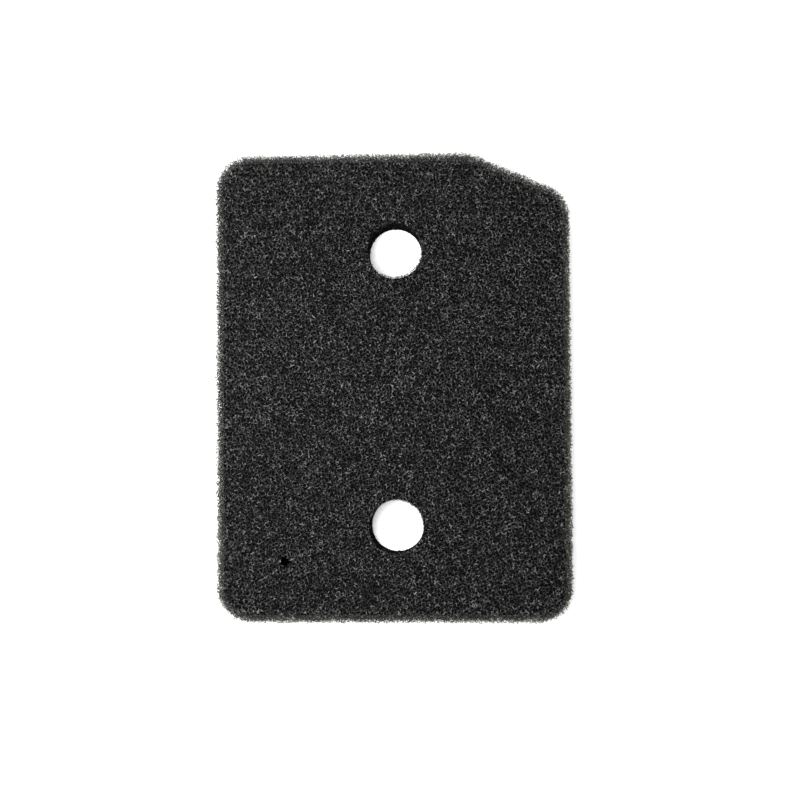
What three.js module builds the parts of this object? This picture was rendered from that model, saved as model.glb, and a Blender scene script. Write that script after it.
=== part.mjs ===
// Foam filter pad: one flat, die-cut pad of open-cell foam, with two round
// locating holes near its long centreline and one clipped corner.
//
// Millimetres, +Z up. The pad lies on its back face. The origin is the middle
// of that face's bounding box, the long side runs along Y, and the clipped
// corner is the one at +X +Y.

import * as THREE from "three";

// Driving dimensions
const PAD_WIDTH = 157;
const PAD_LENGTH = 207;
const PAD_THICKNESS = 10;
const CORNER_RADIUS = 15;
const CLIP_ALONG_UPPER_EDGE = 44;
const CLIP_DOWN_RIGHT_EDGE = 19.3;
const HOLE_DIAMETER = 24;
const HOLE_SPACING = 122.5;
const HOLES_RIGHT_OF_CENTRE = 1.1;
const HOLES_BELOW_CENTRE = 0.5;

// Straight steps in each arc: a rounded corner, or half of a hole. An extruded
// shape takes two steps on an arc for each of its curve segments.
const STEPS_PER_ARC = 24;
const STEPS_PER_SEGMENT = 2;

// Finish of the bare foam
const FOAM_COLOUR = 0x2e2e2c;
const FOAM_ROUGHNESS = 0.8;

const RIGHT = PAD_WIDTH / 2;
const UPPER = PAD_LENGTH / 2;

// Adds the arc that rounds one corner of a counter-clockwise outline. The path
// joins it to the arc before it with a straight line.
function roundCorner(outline, before, corner, after) {
  const toBefore = before.clone().sub(corner).normalize();
  const toAfter = after.clone().sub(corner).normalize();
  const halfAngle = Math.acos(toBefore.dot(toAfter)) / 2;
  const setback = CORNER_RADIUS / Math.tan(halfAngle);
  const centreDistance = CORNER_RADIUS / Math.sin(halfAngle);

  const inward = toBefore.clone().add(toAfter).normalize();
  const centre = corner.clone().addScaledVector(inward, centreDistance);
  const start = corner.clone().addScaledVector(toBefore, setback).sub(centre);
  const end = corner.clone().addScaledVector(toAfter, setback).sub(centre);
  outline.absarc(centre.x, centre.y, CORNER_RADIUS, start.angle(), end.angle(), false);
}

// The outline's corners before rounding, counter-clockwise from the lower left.
// The third and fourth are the two shoulders of the clipped corner.
function sharpCorners() {
  return [
    new THREE.Vector2(-RIGHT, -UPPER),
    new THREE.Vector2(RIGHT, -UPPER),
    new THREE.Vector2(RIGHT, UPPER - CLIP_DOWN_RIGHT_EDGE),
    new THREE.Vector2(RIGHT - CLIP_ALONG_UPPER_EDGE, UPPER),
    new THREE.Vector2(-RIGHT, UPPER),
  ];
}

function padOutline() {
  const corners = sharpCorners();
  const outline = new THREE.Shape();
  corners.forEach((corner, i) => {
    const before = corners.at(i - 1);
    const after = corners[(i + 1) % corners.length];
    roundCorner(outline, before, corner, after);
  });
  outline.closePath();
  return outline;
}

// A hole is two half circles, so that both get the full number of steps.
function roundHole(centreY) {
  const hole = new THREE.Path();
  const radius = HOLE_DIAMETER / 2;
  hole.absarc(HOLES_RIGHT_OF_CENTRE, centreY, radius, Math.PI, 0, true);
  hole.absarc(HOLES_RIGHT_OF_CENTRE, centreY, radius, 0, -Math.PI, true);
  return hole;
}

function makeFoamPad() {
  const outline = padOutline();
  const upperHole = roundHole(HOLE_SPACING / 2 - HOLES_BELOW_CENTRE);
  const lowerHole = roundHole(-HOLE_SPACING / 2 - HOLES_BELOW_CENTRE);
  outline.holes = [upperHole, lowerHole];
  const geometry = new THREE.ExtrudeGeometry(outline, {
    depth: PAD_THICKNESS,
    bevelEnabled: false,
    curveSegments: STEPS_PER_ARC / STEPS_PER_SEGMENT,
  });
  const foam = new THREE.MeshStandardMaterial({
    color: FOAM_COLOUR,
    roughness: FOAM_ROUGHNESS,
    metalness: 0,
  });
  const pad = new THREE.Mesh(geometry, foam);
  pad.name = "foam_pad";
  return pad;
}

const group = new THREE.Group();
group.name = "foam_filter_pad";
group.add(makeFoamPad());

export default group;
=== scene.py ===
"""A flat filter pad of open-cell foam, on a pale floor under soft light.

The pad is one piece of foam. What shows of it is a net of fine struts round
open pores, so the net is modelled: packed fourteen-sided cells, pushed about
by repeatable random amounts, whose edges become joined three-sided struts.
The net is made as deep as light reaches, and is cut off by the pad's faces,
its rim, its two holes and a small torn-out pit. A near-black core fills the
middle: painted shade for the foam too deep for light to come back from.
"""

import itertools
import logging
import math
from dataclasses import dataclass, field

import bmesh
import bpy
import numpy as np
from mathutils import Euler, Matrix, Vector


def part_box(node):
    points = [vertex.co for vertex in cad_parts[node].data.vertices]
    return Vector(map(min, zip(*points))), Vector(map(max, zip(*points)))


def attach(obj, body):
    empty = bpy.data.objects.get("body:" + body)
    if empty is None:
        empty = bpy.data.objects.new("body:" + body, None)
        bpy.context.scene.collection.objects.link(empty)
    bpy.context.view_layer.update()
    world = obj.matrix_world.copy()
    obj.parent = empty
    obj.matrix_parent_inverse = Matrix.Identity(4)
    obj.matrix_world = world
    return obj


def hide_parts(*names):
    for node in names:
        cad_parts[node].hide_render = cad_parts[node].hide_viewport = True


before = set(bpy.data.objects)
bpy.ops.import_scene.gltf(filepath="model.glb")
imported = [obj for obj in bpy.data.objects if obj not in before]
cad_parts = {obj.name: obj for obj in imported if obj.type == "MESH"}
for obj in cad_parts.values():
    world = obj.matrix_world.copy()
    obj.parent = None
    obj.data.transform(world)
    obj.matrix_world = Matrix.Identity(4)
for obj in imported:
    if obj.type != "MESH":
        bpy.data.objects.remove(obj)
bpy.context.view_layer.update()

log = logging.getLogger("filter_pad")

MM = 0.001
NODE = "foam_pad"
BODY = "root"

# The sockets of a Mix node that is set to mix colours.
MIX_FACTOR, MIX_FIRST, MIX_SECOND, MIX_RESULT = 0, 6, 7, 2

# The numbers that turn a whole-number place into well mixed bits.
PLACE_STRIDES = (73856093, 19349663, 83492791)
COORDINATE_STRIDE = 2654435761
SEED_STRIDE = 40503
MIXING_FACTOR = 0xFF51AFD7ED558CCD
MIXING_SHIFT = 33
MIXING_ROUNDS = 2
FRACTION_SHIFT = 11
HALF_OF_RANGE = 2**52

# A corner's three whole numbers all lie between -KEY_OFFSET and KEY_BASE - KEY_OFFSET.
KEY_OFFSET = 4096
KEY_BASE = 8192

# Four struts meet at each node, and each strut starts from the three points that
# belong to the other three.
WAYS = 4
OTHER_WAYS = np.array([[j for j in range(WAYS) if j != k] for k in range(WAYS)])
NEARLY_ZERO = 1e-9
NEARLY_UPRIGHT = 0.9


# ---------------------------------------------------------------- shader maths


@dataclass(frozen=True)
class Wire:
    """A shader socket that takes part in Python sums."""

    graph: "Graph"
    socket: bpy.types.NodeSocket

    def _sum(self, operation: str, first: object, second: object) -> "Wire":
        """The wire out of one Math node."""
        return self.graph.node("ShaderNodeMath", {"operation": operation}, {0: first, 1: second})

    def __add__(self, other: object) -> "Wire":
        """self + other."""
        return self._sum("ADD", self, other)

    __radd__ = __add__

    def __mul__(self, other: object) -> "Wire":
        """self * other."""
        return self._sum("MULTIPLY", self, other)

    __rmul__ = __mul__

    def __sub__(self, other: object) -> "Wire":
        """self - other."""
        return self._sum("SUBTRACT", self, other)

    def __rsub__(self, other: object) -> "Wire":
        """other - self."""
        return self._sum("SUBTRACT", other, self)


class Graph:
    """The node tree of one material, filled by one method."""

    def __init__(self, name: str) -> None:
        """Starts an empty material.

        Args:
            name: the material's name.
        """
        self.material = bpy.data.materials.new(name)
        self.material.use_nodes = True
        self.tree = self.material.node_tree
        self.tree.nodes.clear()

    def node(
        self,
        kind: str,
        settings: dict | None = None,
        sockets: dict | None = None,
        out: int | str = 0,
    ) -> Wire | None:
        """Adds one node.

        Args:
            kind: the node's type name.
            settings: attributes to set first; a list of (position, colour) under
                "stops" fills a colour ramp.
            sockets: values or wires for the inputs, by name or number.
            out: the name or number of the output to return.

        Returns:
            The wire out of the node, or nothing where the node has no output.
        """
        made = self.tree.nodes.new(kind)
        for key, value in (settings or {}).items():
            if key == "stops":
                self._fill_ramp(made.color_ramp, value)
            else:
                setattr(made, key, value)
        for key, value in (sockets or {}).items():
            if isinstance(value, Wire):
                self.tree.links.new(value.socket, made.inputs[key])
            else:
                made.inputs[key].default_value = value
        return Wire(self, made.outputs[out]) if made.outputs else None

    @staticmethod
    def _fill_ramp(ramp: bpy.types.ColorRamp, stops: list) -> None:
        """Gives a colour ramp its stops.

        Args:
            ramp: the ramp, which has two stops to start with.
            stops: (position, colour) pairs in rising order, two or more.
        """
        while len(ramp.elements) < len(stops):
            ramp.elements.new(1.0)
        for element, (position, colour) in zip(ramp.elements, stops):
            element.position = position
            element.color = colour

    def finish(self, shader: Wire) -> bpy.types.Material:
        """Joins the shader to the output and returns the material."""
        self.node("ShaderNodeOutputMaterial", sockets={"Surface": shader})
        return self.material


def grey(value: float) -> tuple[float, float, float, float]:
    """An opaque grey."""
    return (value, value, value, 1.0)


# -------------------------------------------------------------------- finishes


@dataclass(frozen=True)
class CharcoalFoam:
    """Bare charcoal polyurethane: dull struts with small glints and a tone that differs at
    random through the net. Painted on top: a painted highlight on the knots that stand
    out near the faces, painted shade that makes the struts darker with depth, and painted
    light that makes them paler and more olive where the cut rim is thin enough for light to pass."""

    name: str = "charcoal_foam"
    # deep: the colour of painted shade, which struts reach only well below the faces.
    deep: tuple = (0.003, 0.003, 0.003, 1.0)
    dark: tuple = (0.010, 0.010, 0.0098, 1.0)
    light: tuple = (0.050, 0.050, 0.049, 1.0)
    # pale: the colour of painted highlights, which only the knots that stand out reach.
    pale: tuple = (0.126, 0.126, 0.123, 1.0)
    # Painted light: colours for struts near the cut rim, paler and more olive as if light passed through
    # the thin rim.
    rim_glow_dark: tuple = (0.0045, 0.0045, 0.0015, 1.0)
    rim_glow_mid: tuple = (0.036, 0.035, 0.014, 1.0)
    rim_glow_pale: tuple = (0.265, 0.255, 0.160, 1.0)
    face_tones: tuple = (0.0, 0.3, 0.6, 1.0)
    rim_glow_tones: tuple = (0.1, 0.55, 1.0)
    # Painted shade: how much darker the struts are made per millimetre of depth.
    depth_shade: float = 0.12
    # Painted highlight: how much paler the knots that stand out are made.
    knot_glint: float = 0.75
    patch: float = 9 * MM
    patch_detail: float = 2.0
    patchiness: float = 0.05
    grain: float = 0.35 * MM
    grain_detail: float = 1.0
    graininess: float = 0.3
    middle_tone: float = 0.15
    roughness: float = 0.42
    roughness_spread: float = 0.2
    gloss: float = 0.4

    def noise(self, g: Graph, place: Wire, size: float, detail: float) -> Wire:
        """Soft random values from about 0.3 to 0.7.

        Args:
            g: the graph to add to.
            place: the coordinates.
            size: how far apart the values change, in metres.
            detail: how many finer layers are added.

        Returns:
            The values.
        """
        return g.node(
            "ShaderNodeTexNoise",
            sockets={"Vector": place, "Scale": 1 / size, "Detail": detail},
        )

    def attribute(self, g: Graph, name: str) -> Wire:
        """The net's stored value of that name."""
        return g.node("ShaderNodeAttribute", {"attribute_name": name}, out="Fac")

    def material(self) -> bpy.types.Material:
        """Builds the material.

        Returns:
            The finished material.
        """
        g = Graph(self.name)
        place = g.node("ShaderNodeTexCoord", out="Object")
        patches = self.noise(g, place, self.patch, self.patch_detail)
        grain = self.noise(g, place, self.grain, self.grain_detail)
        tone = patches * self.patchiness + grain * self.graininess + self.middle_tone
        # Painted highlight on the knots that stand out, and painted shade that darkens the struts with
        # depth.
        knot_glint = self.attribute(g, "knot_glint")
        tone = tone + knot_glint * knot_glint * knot_glint * self.knot_glint - self.attribute(g, "depth") * self.depth_shade
        face_stops = list(zip(self.face_tones, (self.deep, self.dark, self.light, self.pale)))
        rim_glow_stops = list(zip(self.rim_glow_tones, (self.rim_glow_dark, self.rim_glow_mid, self.rim_glow_pale)))
        face = g.node("ShaderNodeValToRGB", {"stops": face_stops}, {"Fac": tone}, out="Color")
        rim = g.node("ShaderNodeValToRGB", {"stops": rim_glow_stops}, {"Fac": tone}, out="Color")
        # Painted light: where the net nears the cut rim, the paler olive rim colours are mixed in.
        colour = g.node(
            "ShaderNodeMix",
            {"data_type": "RGBA"},
            {MIX_FACTOR: self.attribute(g, "rim"), MIX_FIRST: face, MIX_SECOND: rim},
            out=MIX_RESULT,
        )
        rough = grain * self.roughness_spread + (self.roughness - self.roughness_spread / 2)
        shader = g.node(
            "ShaderNodeBsdfPrincipled",
            sockets={"Base Color": colour, "Roughness": rough, "Specular IOR Level": self.gloss},
        )
        return g.finish(shader)


@dataclass(frozen=True)
class DeepFoamShade:
    """Painted shade for the foam too deep for light to come back from: near-black, with a
    faint pattern of pores, and a painted shadow blackest under the torn-out pit.
    The pit's middle and radius have no default, because they belong to the pad's shape."""

    pit: tuple
    pit_radius: float
    name: str = "deep_foam_shade"
    # Painted shadow: the core's colour under the torn-out pit.
    black: tuple = (0.0001, 0.0001, 0.0001, 1.0)
    # Painted shade: near-black tones, with lighter pore walls standing for the dim net further in.
    dark: tuple = (0.0022, 0.0022, 0.0022, 1.0)
    light: tuple = (0.0050, 0.0050, 0.0047, 1.0)
    wall_edge: float = 0.2
    roughness: float = 0.9
    gloss: float = 0.0
    pore: float = 1.9 * MM
    pit_shadow_reach: float = 1.5

    def material(self) -> bpy.types.Material:
        """Builds the material.

        Returns:
            The finished material.
        """
        g = Graph(self.name)
        place = g.node("ShaderNodeTexCoord", out="Object")
        pores = g.node(
            "ShaderNodeTexVoronoi",
            {"feature": "DISTANCE_TO_EDGE"},
            {"Vector": place, "Scale": 1 / self.pore},
        )
        walls = g.node(
            "ShaderNodeValToRGB",
            {"stops": [(0.0, self.light), (self.wall_edge, self.dark)]},
            {"Fac": pores},
            out="Color",
        )
        # Painted shadow: black at the pit, giving way to the pore pattern further out.
        gap = g.node(
            "ShaderNodeVectorMath",
            {"operation": "DISTANCE"},
            {0: place, 1: self.pit},
            out="Value",
        )
        clear = self.pit_shadow_reach * self.pit_radius
        outside = g.node(
            "ShaderNodeMapRange",
            sockets={"Value": gap, "From Min": self.pit_radius, "From Max": clear},
        )
        colour = g.node(
            "ShaderNodeMix",
            {"data_type": "RGBA"},
            {MIX_FACTOR: outside, MIX_FIRST: self.black, MIX_SECOND: walls},
            out=MIX_RESULT,
        )
        shader = g.node(
            "ShaderNodeBsdfPrincipled",
            sockets={
                "Base Color": colour,
                "Roughness": self.roughness,
                "Specular IOR Level": self.gloss,
            },
        )
        return g.finish(shader)


@dataclass(frozen=True)
class PaleGround:
    """A plain white floor, which glows a little so that it stays white."""

    name: str = "pale_ground"
    colour: tuple = (0.9, 0.9, 0.9, 1.0)
    roughness: float = 0.8
    glow: float = 0.1

    def material(self) -> bpy.types.Material:
        """Builds the material.

        Returns:
            The finished material.
        """
        g = Graph(self.name)
        shader = g.node(
            "ShaderNodeBsdfPrincipled",
            sockets={
                "Base Color": self.colour,
                "Roughness": self.roughness,
                "Emission Color": self.colour,
                "Emission Strength": self.glow,
            },
        )
        return g.finish(shader)


# ------------------------------------------------------------------- the shape


@dataclass(frozen=True)
class PadShape:
    """The die-cut outline and thickness. Width, length and thickness come from the frame."""

    width: float
    length: float
    thickness: float
    corner_radius: float = 15 * MM
    clip_along_upper: float = 44 * MM
    clip_down_right: float = 19.3 * MM
    hole_radius: float = 12 * MM
    hole_narrowing: float = 0.5 * MM
    hole_spacing: float = 122.5 * MM
    holes_right: float = 1.1 * MM
    holes_below: float = 0.5 * MM
    upper_hole_lean: tuple = (0.5 * MM, -1.4 * MM)
    lower_hole_lean: tuple = (0.7 * MM, 0.5 * MM)
    pit: tuple = (-47.9 * MM, -76.5 * MM)
    pit_radius: float = 2.0 * MM
    # A small spot beside the pit whose knots are made thick and given a painted highlight.
    glint_spot: tuple = (-45.3 * MM, -75.3 * MM)
    glint_spot_radius: float = 0.8 * MM

    @classmethod
    def from_frame(cls) -> "PadShape":
        """Reads the pad's box from the frame."""
        low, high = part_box(NODE)
        return cls(*(h - l for l, h in zip(low, high)))

    def corners(self) -> np.ndarray:
        """The outline's corners before rounding.

        Returns:
            One row each, counter-clockwise from the lower left.
        """
        right, upper = self.width / 2, self.length / 2
        return np.array([
            (-right, -upper),
            (right, -upper),
            (right, upper - self.clip_down_right),
            (right - self.clip_along_upper, upper),
            (-right, upper),
        ])

    def inset_corners(self, inset: float) -> np.ndarray:
        """The sharp outline moved inwards.

        Args:
            inset: how far each side moves.

        Returns:
            The moved corners, one row each.
        """
        corner = self.corners()
        side = np.roll(corner, -1, axis=0) - corner
        side /= np.linalg.norm(side, axis=1, keepdims=True)
        inward = np.stack([-side[:, 1], side[:, 0]], axis=1)
        reach = (corner * inward).sum(1) + inset
        moved = []
        for i in range(len(corner)):
            both = np.stack([inward[i - 1], inward[i]])
            moved.append(np.linalg.solve(both, [reach[i - 1], reach[i]]))
        return np.array(moved)

    def rim_depth(self, xy: np.ndarray) -> np.ndarray:
        """How far inside the rounded outline each point lies; negative outside.

        Args:
            xy: points, one row each.

        Returns:
            One depth for each point.
        """
        centres = self.inset_corners(self.corner_radius)
        nearest = np.full(len(xy), np.inf)
        inside = np.ones(len(xy), bool)
        for a, b in zip(centres, np.roll(centres, -1, axis=0)):
            side = b - a
            away = xy - a
            along = np.clip((away @ side) / (side @ side), 0, 1)
            gap = away - along[:, None] * side
            nearest = np.minimum(nearest, np.hypot(gap[:, 0], gap[:, 1]))
            inside &= side[0] * away[:, 1] - side[1] * away[:, 0] > 0
        return self.corner_radius + np.where(inside, nearest, -nearest)

    def hole_centres(self, height: np.ndarray | float) -> list[tuple]:
        """The middles of the upper and the lower hole. The cuts lean a little, so the
        middles at the back are not quite under those at the front.

        Args:
            height: one height or many.

        Returns:
            x and y of both middles, in the shape of the height.
        """
        down = 1 - height / self.thickness
        centres = []
        for side, lean in ((1, self.upper_hole_lean), (-1, self.lower_hole_lean)):
            y = side * self.hole_spacing / 2 - self.holes_below
            centres.append((self.holes_right + lean[0] * down, y + lean[1] * down))
        return centres

    def hole_radius_at(self, height: np.ndarray | float) -> np.ndarray | float:
        """The radius of a hole at some height. The hole narrows towards the back."""
        return self.hole_radius - self.hole_narrowing * (1 - height / self.thickness)

    def hole_depth(self, at: np.ndarray) -> np.ndarray:
        """How far outside the nearer hole's wall each point lies; negative in a hole."""
        gaps = [np.hypot(at[:, 0] - x, at[:, 1] - y) for x, y in self.hole_centres(at[:, 2])]
        return np.minimum(*gaps) - self.hole_radius_at(at[:, 2])

    def pit_depth(self, at: np.ndarray) -> np.ndarray:
        """How far outside the torn-out pit in the front face each point lies."""
        return np.linalg.norm(at - (*self.pit, self.thickness), axis=1) - self.pit_radius


# --------------------------------------------------------------------- the net


def scatter(places: np.ndarray, seed: int) -> np.ndarray:
    """Three repeatable random numbers from -1 to 1 for each whole-number place.

    Args:
        places: whole numbers, with x, y and z along the last axis.
        seed: a different seed gives different numbers.

    Returns:
        An array of the same shape.
    """
    strides = np.array(PLACE_STRIDES, np.int64)
    mixed = (places.astype(np.int64) * strides).sum(-1, keepdims=True)
    mixed = mixed + np.array([1, 2, 3]) * COORDINATE_STRIDE + seed * SEED_STRIDE
    mixed = mixed.astype(np.uint64)
    for _ in range(MIXING_ROUNDS):
        mixed ^= mixed >> np.uint64(MIXING_SHIFT)
        mixed *= np.uint64(MIXING_FACTOR)
    mixed ^= mixed >> np.uint64(MIXING_SHIFT)
    return (mixed >> np.uint64(FRACTION_SHIFT)).astype(float) / HALF_OF_RANGE - 1


@dataclass(frozen=True)
class CellPacking:
    """Packed fourteen-sided cells, as foam bubbles pack, on a tilted grid.

    Each corner of a cell has whole-number coordinates in quarters of the grid
    step: one is a multiple of four, one is two more than that, and one is odd.
    """

    step: float = 1.8 * MM
    tilt: tuple = (0.25, 0.25, 0.35)
    looseness: float = 0.28
    own_looseness: float = 0.21
    seed: int = 7

    def axes(self) -> np.ndarray:
        """The grid's three steps in metres, one row each."""
        return self.step * np.array(Euler(self.tilt).to_matrix()).T

    def corners_in(self, low: np.ndarray, high: np.ndarray) -> np.ndarray:
        """The cell corners whose unperturbed place is in a box.

        Args:
            low: the box's lowest corner.
            high: its highest corner.

        Returns:
            Whole-number coordinates, one row for each corner.
        """
        axes = self.axes()
        lean = axes[:2, :2] - axes[:2, 2:] / axes[2, 2] * axes[2, :2]
        box = np.array(list(itertools.product(*zip(low, high))))
        shadow = box[:, :2] - box[:, 2:] / axes[2, 2] * axes[2, :2]
        reach = shadow @ np.linalg.inv(lean)
        first = np.floor(reach.min(0)).astype(int) - 1
        last = np.ceil(reach.max(0)).astype(int) + 1
        layers = math.ceil((high[2] - low[2]) / axes[2, 2] / 2) + 2
        i, j, k = np.meshgrid(
            np.arange(first[0], last[0] + 1),
            np.arange(first[1], last[1] + 1),
            np.arange(-layers, layers + 1),
            indexing="ij",
        )
        middle = (low[2] + high[2]) / 2
        k = k + np.round((middle - i * axes[0, 2] - j * axes[1, 2]) / axes[2, 2]).astype(int)
        cells = np.stack([i, j, k], axis=-1).reshape(-1, 3)
        at = cells @ axes
        near = ((at > low - 2 * self.step) & (at < high + 2 * self.step)).all(1)
        sites = [p for odd in (1, 3) for p in itertools.permutations((0, 2, odd))]
        found = (cells[near, None] * 4 + np.array(sites)).reshape(-1, 3)
        at = found / 4 @ axes
        return found[((at > low) & (at < high)).all(1)]

    @staticmethod
    def steps_from(corners: np.ndarray) -> tuple:
        """The moves that lead from each corner to its neighbours and cell middles.

        Args:
            corners: whole-number coordinates along the last axis.

        Returns:
            A unit step along the coordinate that is a multiple of four, one along the
            coordinate that is two more than that, and the two opposite steps along the
            odd coordinate: away from and towards the value that is two more than a
            multiple of four.
        """
        left = corners % 4
        zero, two, odd = (left == 0), (left == 2), (left % 2 == 1)
        to_two = odd * (2 - (left * odd).sum(-1, keepdims=True))
        return zero.astype(int), two.astype(int), -to_two, to_two

    def neighbours(self, corners: np.ndarray) -> np.ndarray:
        """The four corners joined to each corner by a cell edge.

        Args:
            corners: whole-number coordinates, one row each.

        Returns:
            An array of corner, neighbour and coordinate.
        """
        zero, two, to_zero, to_two = self.steps_from(corners)
        moves = [to_zero + zero, to_zero - zero, to_two + two, to_two - two]
        return np.stack([corners + move for move in moves], axis=1)

    def place(self, corners: np.ndarray) -> np.ndarray:
        """Where each corner is, in metres, once its four cells have been pushed about
        and it has moved a little by itself.

        Args:
            corners: whole-number coordinates along the last axis.

        Returns:
            Positions, in the same shape.
        """
        zero, two, to_zero, to_two = self.steps_from(corners)
        middles = [
            corners + to_zero + 2 * two,
            corners + to_zero - 2 * two,
            corners + to_two + 2 * zero,
            corners + to_two - 2 * zero,
        ]
        push = sum(scatter(middle, self.seed) for middle in middles) / 4
        own = scatter(corners, self.seed + 1) * self.own_looseness
        return (corners / 4) @ self.axes() + (push * self.looseness + own) * self.step


@dataclass
class FoamCore:
    """The middle of the foam, near-black: painted shade for the foam that light
    doesn't reach. It is widest half way up, where it almost meets the rim and the
    holes, and slopes in towards both faces, so that light gets further into the
    foam along its edges than in the middle of its faces."""

    shape: PadShape
    front_inset: float = 1.1 * MM
    back_inset: float = 0.5 * MM
    waist_rim_inset: float = 2.8 * MM
    flat_rim_inset: float = 4.0 * MM
    waist_hole_inset: float = 0.1 * MM
    back_hole_inset: float = 0.1 * MM
    front_hole_inset: float = 0.8 * MM
    back_hole_slope: float = 0.05 * MM
    arc_steps: int = 10
    hole_steps: int = 48

    def above(self, at: np.ndarray) -> np.ndarray:
        """How far above or below the core each point is; negative inside it.

        Args:
            at: points, one row each.

        Returns:
            One distance for each point.
        """
        rim = self.shape.rim_depth(at[:, :2]) - self.waist_rim_inset
        rim /= self.flat_rim_inset - self.waist_rim_inset
        middle = self.shape.thickness / 2
        up = at[:, 2] - middle
        front_slope = self.front_hole_inset - self.waist_hole_inset
        slope = np.where(up > 0, front_slope, self.back_hole_slope)
        hole = (self.shape.hole_depth(at) - self.waist_hole_inset) / slope
        share = np.clip(np.minimum(rim, hole), -1, 1)
        inset = np.where(up > 0, self.front_inset, self.back_inset)
        return np.abs(up) - share * (middle - inset)

    def outline(self, inset: float) -> list[tuple[float, float]]:
        """The rounded outline, moved inwards.

        Args:
            inset: how far it moves.

        Returns:
            Its points, counter-clockwise.
        """
        centres = self.shape.inset_corners(self.shape.corner_radius)
        radius = self.shape.corner_radius - inset
        corner = self.shape.corners()
        points = []
        for i, centre in enumerate(centres):
            before = corner[i] - corner[i - 1]
            after = corner[(i + 1) % len(corner)] - corner[i]
            first = math.atan2(before[1], before[0]) - math.pi / 2
            turn = math.atan2(after[1], after[0]) - math.pi / 2 - first
            turn = (turn + math.pi) % (2 * math.pi) - math.pi
            for step in range(self.arc_steps + 1):
                angle = first + turn * step / self.arc_steps
                points.append(centre + radius * np.array([math.cos(angle), math.sin(angle)]))
        return points

    def hole(self, centre: tuple, height: float, inset: float) -> list[tuple[float, float]]:
        """A circle round one hole.

        Args:
            centre: the hole's middle at that height.
            height: the circle's height.
            inset: how far outside the hole's wall the circle lies.

        Returns:
            Its points, counter-clockwise.
        """
        radius = self.shape.hole_radius_at(height) + inset
        turns = [2 * math.pi * i / self.hole_steps for i in range(self.hole_steps)]
        return [(centre[0] + radius * math.cos(t), centre[1] + radius * math.sin(t)) for t in turns]

    def build(self, finish: bpy.types.Material) -> bpy.types.Object:
        """Makes the core.

        Args:
            finish: its material.

        Returns:
            The core.
        """
        bm = bmesh.new()
        middle = self.shape.thickness / 2
        levels = [
            (self.back_inset, self.flat_rim_inset, self.back_hole_inset),
            (middle, self.waist_rim_inset, self.waist_hole_inset),
            (self.shape.thickness - self.front_inset, self.flat_rim_inset, self.front_hole_inset),
        ]
        stacks = [[], [], []]
        for height, rim, hole in levels:
            loops = [self.outline(rim)]
            loops += [self.hole(c, height, hole) for c in self.shape.hole_centres(height)]
            for stack, loop in zip(stacks, loops):
                verts = [bm.verts.new((x, y, height)) for x, y in loop]
                stack.append([bm.edges.new(pair) for pair in zip(verts, verts[1:] + verts[:1])])
        for stack in stacks:
            for low, high in zip(stack, stack[1:]):
                bmesh.ops.bridge_loops(bm, edges=low + high)
        for end in (0, -1):
            bmesh.ops.triangle_fill(bm, use_beauty=True, edges=sum((s[end] for s in stacks), []))
        bmesh.ops.recalc_face_normals(bm, faces=bm.faces[:])
        mesh = bpy.data.meshes.new("deep_foam_core")
        bm.to_mesh(mesh)
        bm.free()
        mesh.materials.append(finish)
        piece = bpy.data.objects.new("deep_foam_core", mesh)
        bpy.context.scene.collection.objects.link(piece)
        return piece


@dataclass(frozen=True)
class NodeBatch:
    """The nodes of one piece of the net, in the order of their keys.

    corners, at and keys have one row for each node: its whole-number coordinates, its
    place and its key. far_keys, there and direction have one for each of its four ways
    too: the key and place of the node at the far end, and the unit vector to it. points
    has the four points round each node, as one long list of places.
    """

    corners: np.ndarray
    at: np.ndarray
    keys: np.ndarray
    far_keys: np.ndarray
    there: np.ndarray
    direction: np.ndarray
    points: np.ndarray


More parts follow.
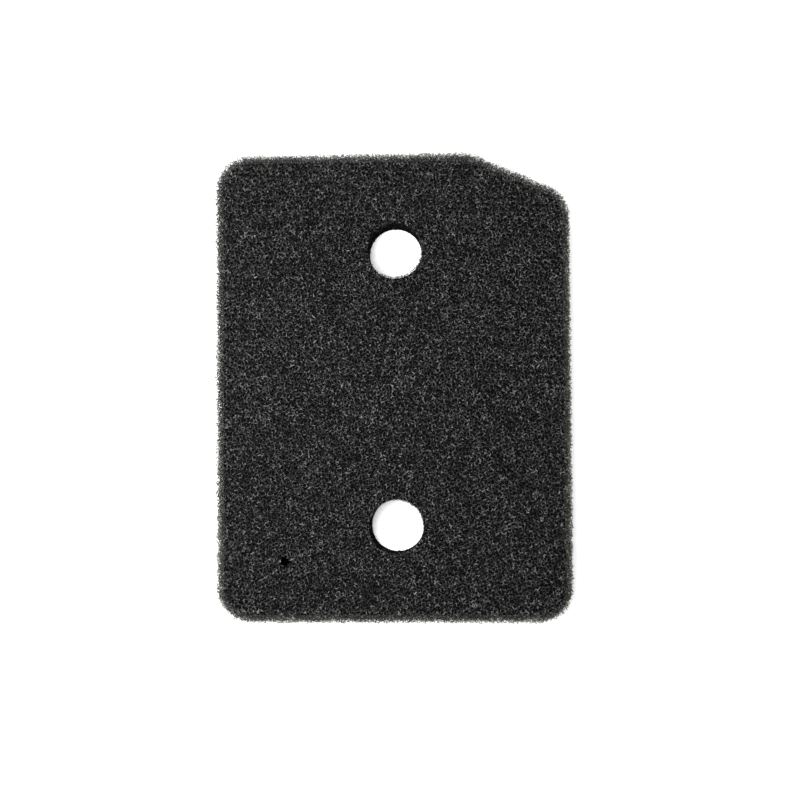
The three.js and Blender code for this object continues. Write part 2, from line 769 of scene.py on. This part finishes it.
@dataclass
class FoamNet:
    """The struts that show, in pieces small enough to store.

    A strut is cut short where its far node isn't made. It keeps open_reach of its length
    where that node is torn away or is in another piece, and never less than shortest.
    """

    shape: PadShape
    core: FoamCore
    packing: CellPacking = field(default_factory=CellPacking)
    node_radius: float = 0.125 * MM
    swelling: float = 0.8
    # Painted highlights and thicker knots are given only this near the faces.
    knot_glint_depth: float = 1.2 * MM
    knot_glint_fade: float = 0.6 * MM
    # How much the knots in the glint spot stand out: thick, with a painted highlight.
    glint_spot_level: float = 2.0
    overlap: float = 0.1 * MM
    edge_piece: float = 5.0 * MM
    # How far in from the cut rim the painted light reaches.
    rim_glow_reach: float = 3.6 * MM
    fray: float = 0.35 * MM
    fray_seed: int = 5
    open_reach: float = 0.8
    shortest: float = 0.12
    torn_rim: float = 2.2 * MM
    torn_share: float = 0.75
    floor_gap: float = 0.02 * MM
    rows: int = 6

    def inside(self, at: np.ndarray) -> np.ndarray:
        """How deep points lie inside the pad.

        Args:
            at: points, one row each.

        Returns:
            One depth for each point; negative outside.
        """
        face = np.minimum(at[:, 2], self.shape.thickness - at[:, 2])
        rim = self.shape.rim_depth(at[:, :2])
        hole = self.shape.hole_depth(at)
        return np.minimum.reduce([face, rim, hole, self.shape.pit_depth(at)])

    def shown(self, at: np.ndarray) -> np.ndarray:
        """Whether each point lies in the net that is modelled."""
        return (self.core.above(at) > -self.overlap) & (self.inside(at) > 0)

    def torn(self, corners: np.ndarray, at: np.ndarray) -> np.ndarray:
        """Whether each node has been torn away by the cutting of the rim. The struts
        that led to it are left standing.

        Args:
            corners: whole-number coordinates of the nodes, one row each.
            at: where the nodes are.

        Returns:
            One yes or no for each node.
        """
        chance = (scatter(corners, self.packing.seed + 2)[:, 1] + 1) / 2
        return chance < self.torn_share * (1 - self.shape.rim_depth(at[:, :2]) / self.torn_rim)

    def knot_glints(self, corners: np.ndarray, at: np.ndarray) -> np.ndarray:
        """How much each node stands out, from 0 to 1, or a set higher value in the glint spot.
        Near the faces a few nodes are made thick and given a painted highlight; deeper down none are.

        Args:
            corners: whole-number coordinates of the nodes, one row each.
            at: where the nodes are.

        Returns:
            One value for each node.
        """
        face = np.minimum(at[:, 2], self.shape.thickness - at[:, 2])
        chance = (scatter(corners, self.packing.seed + 2)[:, 0] + 1) / 2
        knot_glint = chance * np.clip((self.knot_glint_depth - face) / self.knot_glint_fade, 0, 1)
        gap = np.linalg.norm(at - (*self.shape.glint_spot, self.shape.thickness), axis=1)
        return np.where(gap < self.shape.glint_spot_radius, self.glint_spot_level, knot_glint)

    def piece_of(self, at: np.ndarray) -> np.ndarray:
        """The number of the piece that each point belongs to.

        Args:
            at: points, one row each.

        Returns:
            Whole numbers: the rows of the front, then of the back, then the rim's quarters.
        """
        band = np.clip((at[:, 1] / self.shape.length + 0.5) * self.rows, 0, self.rows - 1)
        front = at[:, 2] > self.shape.thickness / 2
        number = band.astype(int) + np.where(front, 0, self.rows)
        quarter = 2 * (at[:, 1] > 0) + (at[:, 0] > 0)
        edge = self.shape.rim_depth(at[:, :2]) < self.edge_piece
        return np.where(edge, 2 * self.rows + quarter, number)

    def build(self, finish: bpy.types.Material) -> list[bpy.types.Object]:
        """Makes every piece of the net.

        Args:
            finish: their material.

        Returns:
            The pieces: front, back, then rim.
        """
        margin = self.packing.step
        low = np.array([-self.shape.width / 2, -self.shape.length / 2, 0.0]) - margin
        high = np.array([self.shape.width / 2, self.shape.length / 2, self.shape.thickness]) + margin
        corners = self.packing.corners_in(low, high)
        at = self.packing.place(corners)
        keep = self.shown(at) & ~self.torn(corners, at)
        corners, at = corners[keep], at[keep]
        owner = self.piece_of(at)
        log.info("net: %d nodes", len(corners))
        names = [f"front_net_{i + 1}" for i in range(self.rows)]
        names += [f"back_net_{i + 1}" for i in range(self.rows)]
        names += [f"{end}_{side}_rim_net" for end in ("lower", "upper") for side in ("left", "right")]
        made = []
        for number, name in enumerate(names):
            mine = owner == number
            made.append(self.piece(name, corners[mine], at[mine], finish))
        return made

    @staticmethod
    def keys(corners: np.ndarray) -> np.ndarray:
        """One whole number for each corner."""
        return ((corners + KEY_OFFSET) * np.array([1, KEY_BASE, KEY_BASE * KEY_BASE])).sum(-1)

    def batch(self, corners: np.ndarray, at: np.ndarray, knot_glint: np.ndarray) -> NodeBatch:
        """Gathers what the struts of one piece are made from.

        Args:
            corners: whole-number coordinates of the nodes, in the order of their keys.
            at: where the nodes are.
            knot_glint: how much each node stands out.

        Returns:
            The nodes, each with the four points of its small tetrahedron.
        """
        far = self.packing.neighbours(corners)
        there = self.packing.place(far.reshape(-1, 3)).reshape(-1, WAYS, 3)
        away = there - at[:, None]
        direction = away / np.linalg.norm(away, axis=2, keepdims=True)
        radius = self.node_radius * (1 + self.swelling * knot_glint)
        knots = at[:, None] - radius[:, None, None] * direction
        return NodeBatch(
            corners=corners,
            at=at,
            keys=self.keys(corners),
            far_keys=self.keys(far),
            there=there,
            direction=direction,
            points=knots.reshape(-1, 3),
        )

    def mouths(self, b: NodeBatch, node: np.ndarray, way: np.ndarray, line: np.ndarray) -> np.ndarray:
        """The loop of three points that each strut starts from.

        Args:
            b: the nodes.
            node: the number of the node at that end of each strut.
            way: which of the node's ways the strut takes.
            line: the direction that the loops are counted round.

        Returns:
            Three point numbers for each strut.
        """
        return self.turned(b.points, node[:, None] * WAYS + OTHER_WAYS[way], b.at[node], line)

    def joined_struts(self, b: NodeBatch, found: np.ndarray, here: np.ndarray) -> np.ndarray:
        """The struts that join two nodes of the same piece.

        Args:
            b: the nodes.
            found: for each node and way, the number of the node at the far end.
            here: whether that node is in this piece.

        Returns:
            The struts' sides, as rows of four point numbers.
        """
        node, way = np.nonzero(here & (found > np.arange(len(b.keys))[:, None]))
        mate = found[node, way]
        back = (b.far_keys[mate] == b.keys[node][:, None]).argmax(1)
        line = b.direction[node, way]
        start = self.mouths(b, node, way, line)
        end = self.mouths(b, mate, back, line)
        end = self.matched(b.points, start, end, b.at[node], b.at[mate])
        return self.sides(start, end)

    def open_ways(self, b: NodeBatch, here: np.ndarray) -> tuple[np.ndarray, np.ndarray]:
        """The struts that end in the open. Those that run on into the core are left out.

        Args:
            b: the nodes.
            here: for each node and way, whether the far node is in this piece.

        Returns:
            The node and the way of each strut.
        """
        far = b.there.reshape(-1, 3)
        buried = ~self.shown(far) & (self.inside(far) > 0)
        return np.nonzero(~here & ~buried.reshape(-1, WAYS))

    def cut_lengths(self, b: NodeBatch, node: np.ndarray, way: np.ndarray) -> np.ndarray:
        """How long each strut is that ends in the open. One that leaves the pad is cut
        near its surface, a little frayed.

        Args:
            b: the nodes.
            node: the number of the node that each strut starts from.
            way: which of the node's ways it takes.

        Returns:
            One length for each strut.
        """
        at, target = b.at[node], b.there[node, way]
        deep_here, deep_there = self.inside(at), self.inside(target)
        out = deep_there < 0
        surface = deep_here / np.maximum(deep_here - deep_there, NEARLY_ZERO)
        reach = np.where(out, surface, self.open_reach)
        full = np.linalg.norm(target - at, axis=1)
        strut = b.corners[node] * WAYS + way[:, None]
        fray = self.fray * scatter(strut, self.fray_seed)[:, 0]
        return np.clip(reach * full + np.where(out, fray, 0), self.shortest * full, full)

    def piece(
        self,
        name: str,
        corners: np.ndarray,
        at: np.ndarray,
        finish: bpy.types.Material,
    ) -> bpy.types.Object:
        """Makes one piece: a small tetrahedron at each node, whose four faces open
        into the four struts that meet there.

        Args:
            name: the piece's name.
            corners: whole-number coordinates of its nodes, one row each.
            at: where the nodes are.
            finish: the piece's material.

        Returns:
            The piece.
        """
        order = np.argsort(self.keys(corners))
        corners, at = corners[order], at[order]
        knot_glint = self.knot_glints(corners, at)
        b = self.batch(corners, at, knot_glint)
        found = np.searchsorted(b.keys, b.far_keys).clip(0, len(b.keys) - 1)
        here = b.keys[found] == b.far_keys
        joined = self.joined_struts(b, found, here)

        node, way = self.open_ways(b, here)
        line = b.direction[node, way]
        start = self.mouths(b, node, way, line)
        length = self.cut_lengths(b, node, way)
        tips = b.points[start] + (line * length[:, None])[:, None]
        end = len(b.points) + np.arange(len(node) * 3).reshape(-1, 3)
        points = np.concatenate([b.points, tips.reshape(-1, 3)])
        points[:, 2] = np.maximum(points[:, 2], self.floor_gap)
        quads = np.concatenate([joined, self.sides(start, end)])
        piece = self.mesh_object(name, points, quads, end, finish)
        self.store(piece, points, np.concatenate([np.repeat(knot_glint, WAYS), np.repeat(knot_glint[node], 3)]))
        return piece

    def store(self, piece: bpy.types.Object, points: np.ndarray, knot_glint: np.ndarray) -> None:
        """Stores on a piece the values that its material reads.

        Args:
            piece: the piece.
            points: its points, one row each.
            knot_glint: how much the node of each point stands out.
        """
        face = np.minimum(points[:, 2], self.shape.thickness - points[:, 2])
        rim = self.shape.rim_depth(points[:, :2])
        values = {
            # Painted shade: the depth that the struts are darkened by.
            "depth": np.minimum(face, rim) / MM,
            # Painted light: how near the cut rim the point lies.
            "rim": np.clip(1 - rim / self.rim_glow_reach, 0, 1),
            # Painted highlight and thicker knot: how much the point's node stands out.
            "knot_glint": knot_glint,
        }
        for label, value in values.items():
            stored = piece.data.attributes.new(label, "FLOAT", "POINT")
            stored.data.foreach_set("value", value.astype(np.float32))

    @staticmethod
    def turned(points: np.ndarray, loops: np.ndarray, middle: np.ndarray, line: np.ndarray) -> np.ndarray:
        """Orders each loop of three points counter-clockwise round its line.

        Args:
            points: places, one row each.
            loops: three point numbers for each loop.
            middle: the node that each loop lies round.
            line: the unit vector along each loop's strut.

        Returns:
            The loops, with their points in order.
        """
        upright = np.abs(line[:, 2:]) >= NEARLY_UPRIGHT
        across = np.cross(line, np.where(upright, [[1.0, 0, 0]], [[0, 0, 1.0]]))
        across /= np.linalg.norm(across, axis=1, keepdims=True)
        up = np.cross(line, across)
        gap = points[loops] - middle[:, None]
        angle = np.arctan2((gap * up[:, None]).sum(2), (gap * across[:, None]).sum(2))
        order = np.argsort(angle, axis=1)
        return np.take_along_axis(loops, order, 1)

    @staticmethod
    def matched(
        points: np.ndarray,
        start: np.ndarray,
        end: np.ndarray,
        here: np.ndarray,
        there: np.ndarray,
    ) -> np.ndarray:
        """Turns each end loop to the least twist from its start loop.

        Args:
            points: places, one row each.
            start: three point numbers for each start loop.
            end: three for each end loop.
            here: the node at the start of each strut.
            there: the node at its end.

        Returns:
            The end loops, each rolled to match.
        """
        best, cost = end, np.full(len(end), np.inf)
        gap = points[start] - here[:, None]
        for roll in range(3):
            tried = np.roll(end, roll, axis=1)
            new = ((points[tried] - there[:, None] - gap) ** 2).sum((1, 2))
            better = new < cost
            best = np.where(better[:, None], tried, best)
            cost = np.minimum(cost, new)
        return best

    @staticmethod
    def sides(start: np.ndarray, end: np.ndarray) -> np.ndarray:
        """The three sides of each strut.

        Args:
            start: three point numbers for each start loop.
            end: three for each end loop.

        Returns:
            Rows of four point numbers.
        """
        s, e = np.roll(start, -1, axis=1), np.roll(end, -1, axis=1)
        return np.stack([start, s, e, end], axis=2).reshape(-1, 4)

    @staticmethod
    def mesh_object(
        name: str,
        points: np.ndarray,
        quads: np.ndarray,
        caps: np.ndarray,
        finish: bpy.types.Material,
    ) -> bpy.types.Object:
        """Makes an object of four-sided and three-sided faces.

        Args:
            name: the object's name.
            points: places, one row each.
            quads: rows of four point numbers.
            caps: rows of three point numbers.
            finish: its material.

        Returns:
            The object.
        """
        mesh = bpy.data.meshes.new(name)
        mesh.vertices.add(len(points))
        mesh.vertices.foreach_set("co", points.astype(np.float32).ravel())
        corners = np.concatenate([quads.ravel(), caps.ravel()])
        mesh.loops.add(len(corners))
        mesh.loops.foreach_set("vertex_index", corners.astype(np.int32))
        sizes = np.repeat([4, 3], [len(quads), len(caps)])
        mesh.polygons.add(len(sizes))
        starts = np.concatenate([[0], np.cumsum(sizes)[:-1]])
        mesh.polygons.foreach_set("loop_start", starts.astype(np.int32))
        mesh.polygons.foreach_set("use_smooth", np.zeros(len(sizes), bool))
        mesh.update(calc_edges=True)
        mesh.materials.append(finish)
        piece = bpy.data.objects.new(name, mesh)
        bpy.context.scene.collection.objects.link(piece)
        return piece


# ------------------------------------------------------------------ the studio


@dataclass
class Studio:
    """Floor, light and camera."""

    shape: PadShape
    ground_side: float = 6.0
    camera_height: float = 0.490
    lens: float = 50.25
    foot: tuple = (0.0222, -0.0187)
    aim: tuple = (0.0033, -0.0058)
    roll: float = math.radians(0.38)
    view_depth: float = 50.0
    key_place: tuple = (-0.16, -0.02, 0.28)
    key_size: float = 0.28
    key_power: float = 1.85
    back_place: tuple = (0.1, 1.1, 0.8)
    back_size: float = 0.6
    back_power: float = 8.0
    sky: float = 1.0

    def ground(self) -> bpy.types.Object:
        """A wide flat floor at the pad's back face.

        Returns:
            The floor.
        """
        bm = bmesh.new()
        bmesh.ops.create_grid(bm, x_segments=1, y_segments=1, size=self.ground_side / 2)
        mesh = bpy.data.meshes.new("ground")
        bm.to_mesh(mesh)
        bm.free()
        mesh.materials.append(PaleGround().material())
        ground = bpy.data.objects.new("ground", mesh)
        bpy.context.scene.collection.objects.link(ground)
        return ground

    def area(self, name: str, place: tuple, size: float, power: float) -> None:
        """A square soft light that faces the pad.

        Args:
            name: the light's name.
            place: where it stands.
            size: the length of its side, in metres.
            power: its power in watts.
        """
        light = bpy.data.lights.new(name, "AREA")
        light.size = size
        light.energy = power
        lamp = bpy.data.objects.new(name, light)
        lamp.location = place
        lamp.rotation_euler = (-Vector(place)).to_track_quat("-Z", "Y").to_euler()
        bpy.context.scene.collection.objects.link(lamp)

    def lights(self) -> None:
        """A near light above the left side, which lets the pad darken to the right, a
        weaker one from beyond the upper edge, and even light from all round."""
        self.area("key", self.key_place, self.key_size, self.key_power)
        self.area("back", self.back_place, self.back_size, self.back_power)
        world = bpy.data.worlds.new("studio")
        world.use_nodes = True
        background = world.node_tree.nodes["Background"]
        background.inputs["Color"].default_value = grey(1.0)
        background.inputs["Strength"].default_value = self.sky
        bpy.context.scene.world = world

    def camera(self) -> None:
        """The camera above the pad, a little right of its middle and below it as the
        camera sees it, and tipped to look back at the middle."""
        data = bpy.data.cameras.new("camera")
        data.lens = self.lens
        data.clip_end = self.view_depth
        camera = bpy.data.objects.new("camera", data)
        place = Vector((*self.foot, self.shape.thickness + self.camera_height))
        target = Vector((*self.aim, self.shape.thickness))
        look = (target - place).normalized()
        right = look.cross(Vector((math.sin(self.roll), math.cos(self.roll), 0))).normalized()
        up = right.cross(look)
        turn = np.array([right, up, -look]).T
        camera.matrix_world = Matrix.Translation(place) @ Matrix(turn.tolist()).to_4x4()
        bpy.context.scene.collection.objects.link(camera)
        bpy.context.scene.camera = camera

    def build(self) -> None:
        """Makes the whole studio."""
        self.ground()
        self.lights()
        self.camera()
        bpy.context.scene.view_settings.view_transform = "Standard"


def main() -> None:
    """Builds the pad and the studio, and attaches each piece to the pad's body."""
    logging.basicConfig(level=logging.INFO, format="%(message)s")
    shape = PadShape.from_frame()
    middle = FoamCore(shape)
    net = FoamNet(shape, middle).build(CharcoalFoam().material())
    core = middle.build(DeepFoamShade((*shape.pit, shape.thickness), shape.pit_radius).material())
    for piece in [*net, core]:
        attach(piece, BODY)
        log.info("%s: %d faces", piece.name, len(piece.data.polygons))
    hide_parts(NODE)
    Studio(shape).build()


if __name__ == "__main__":
    main()
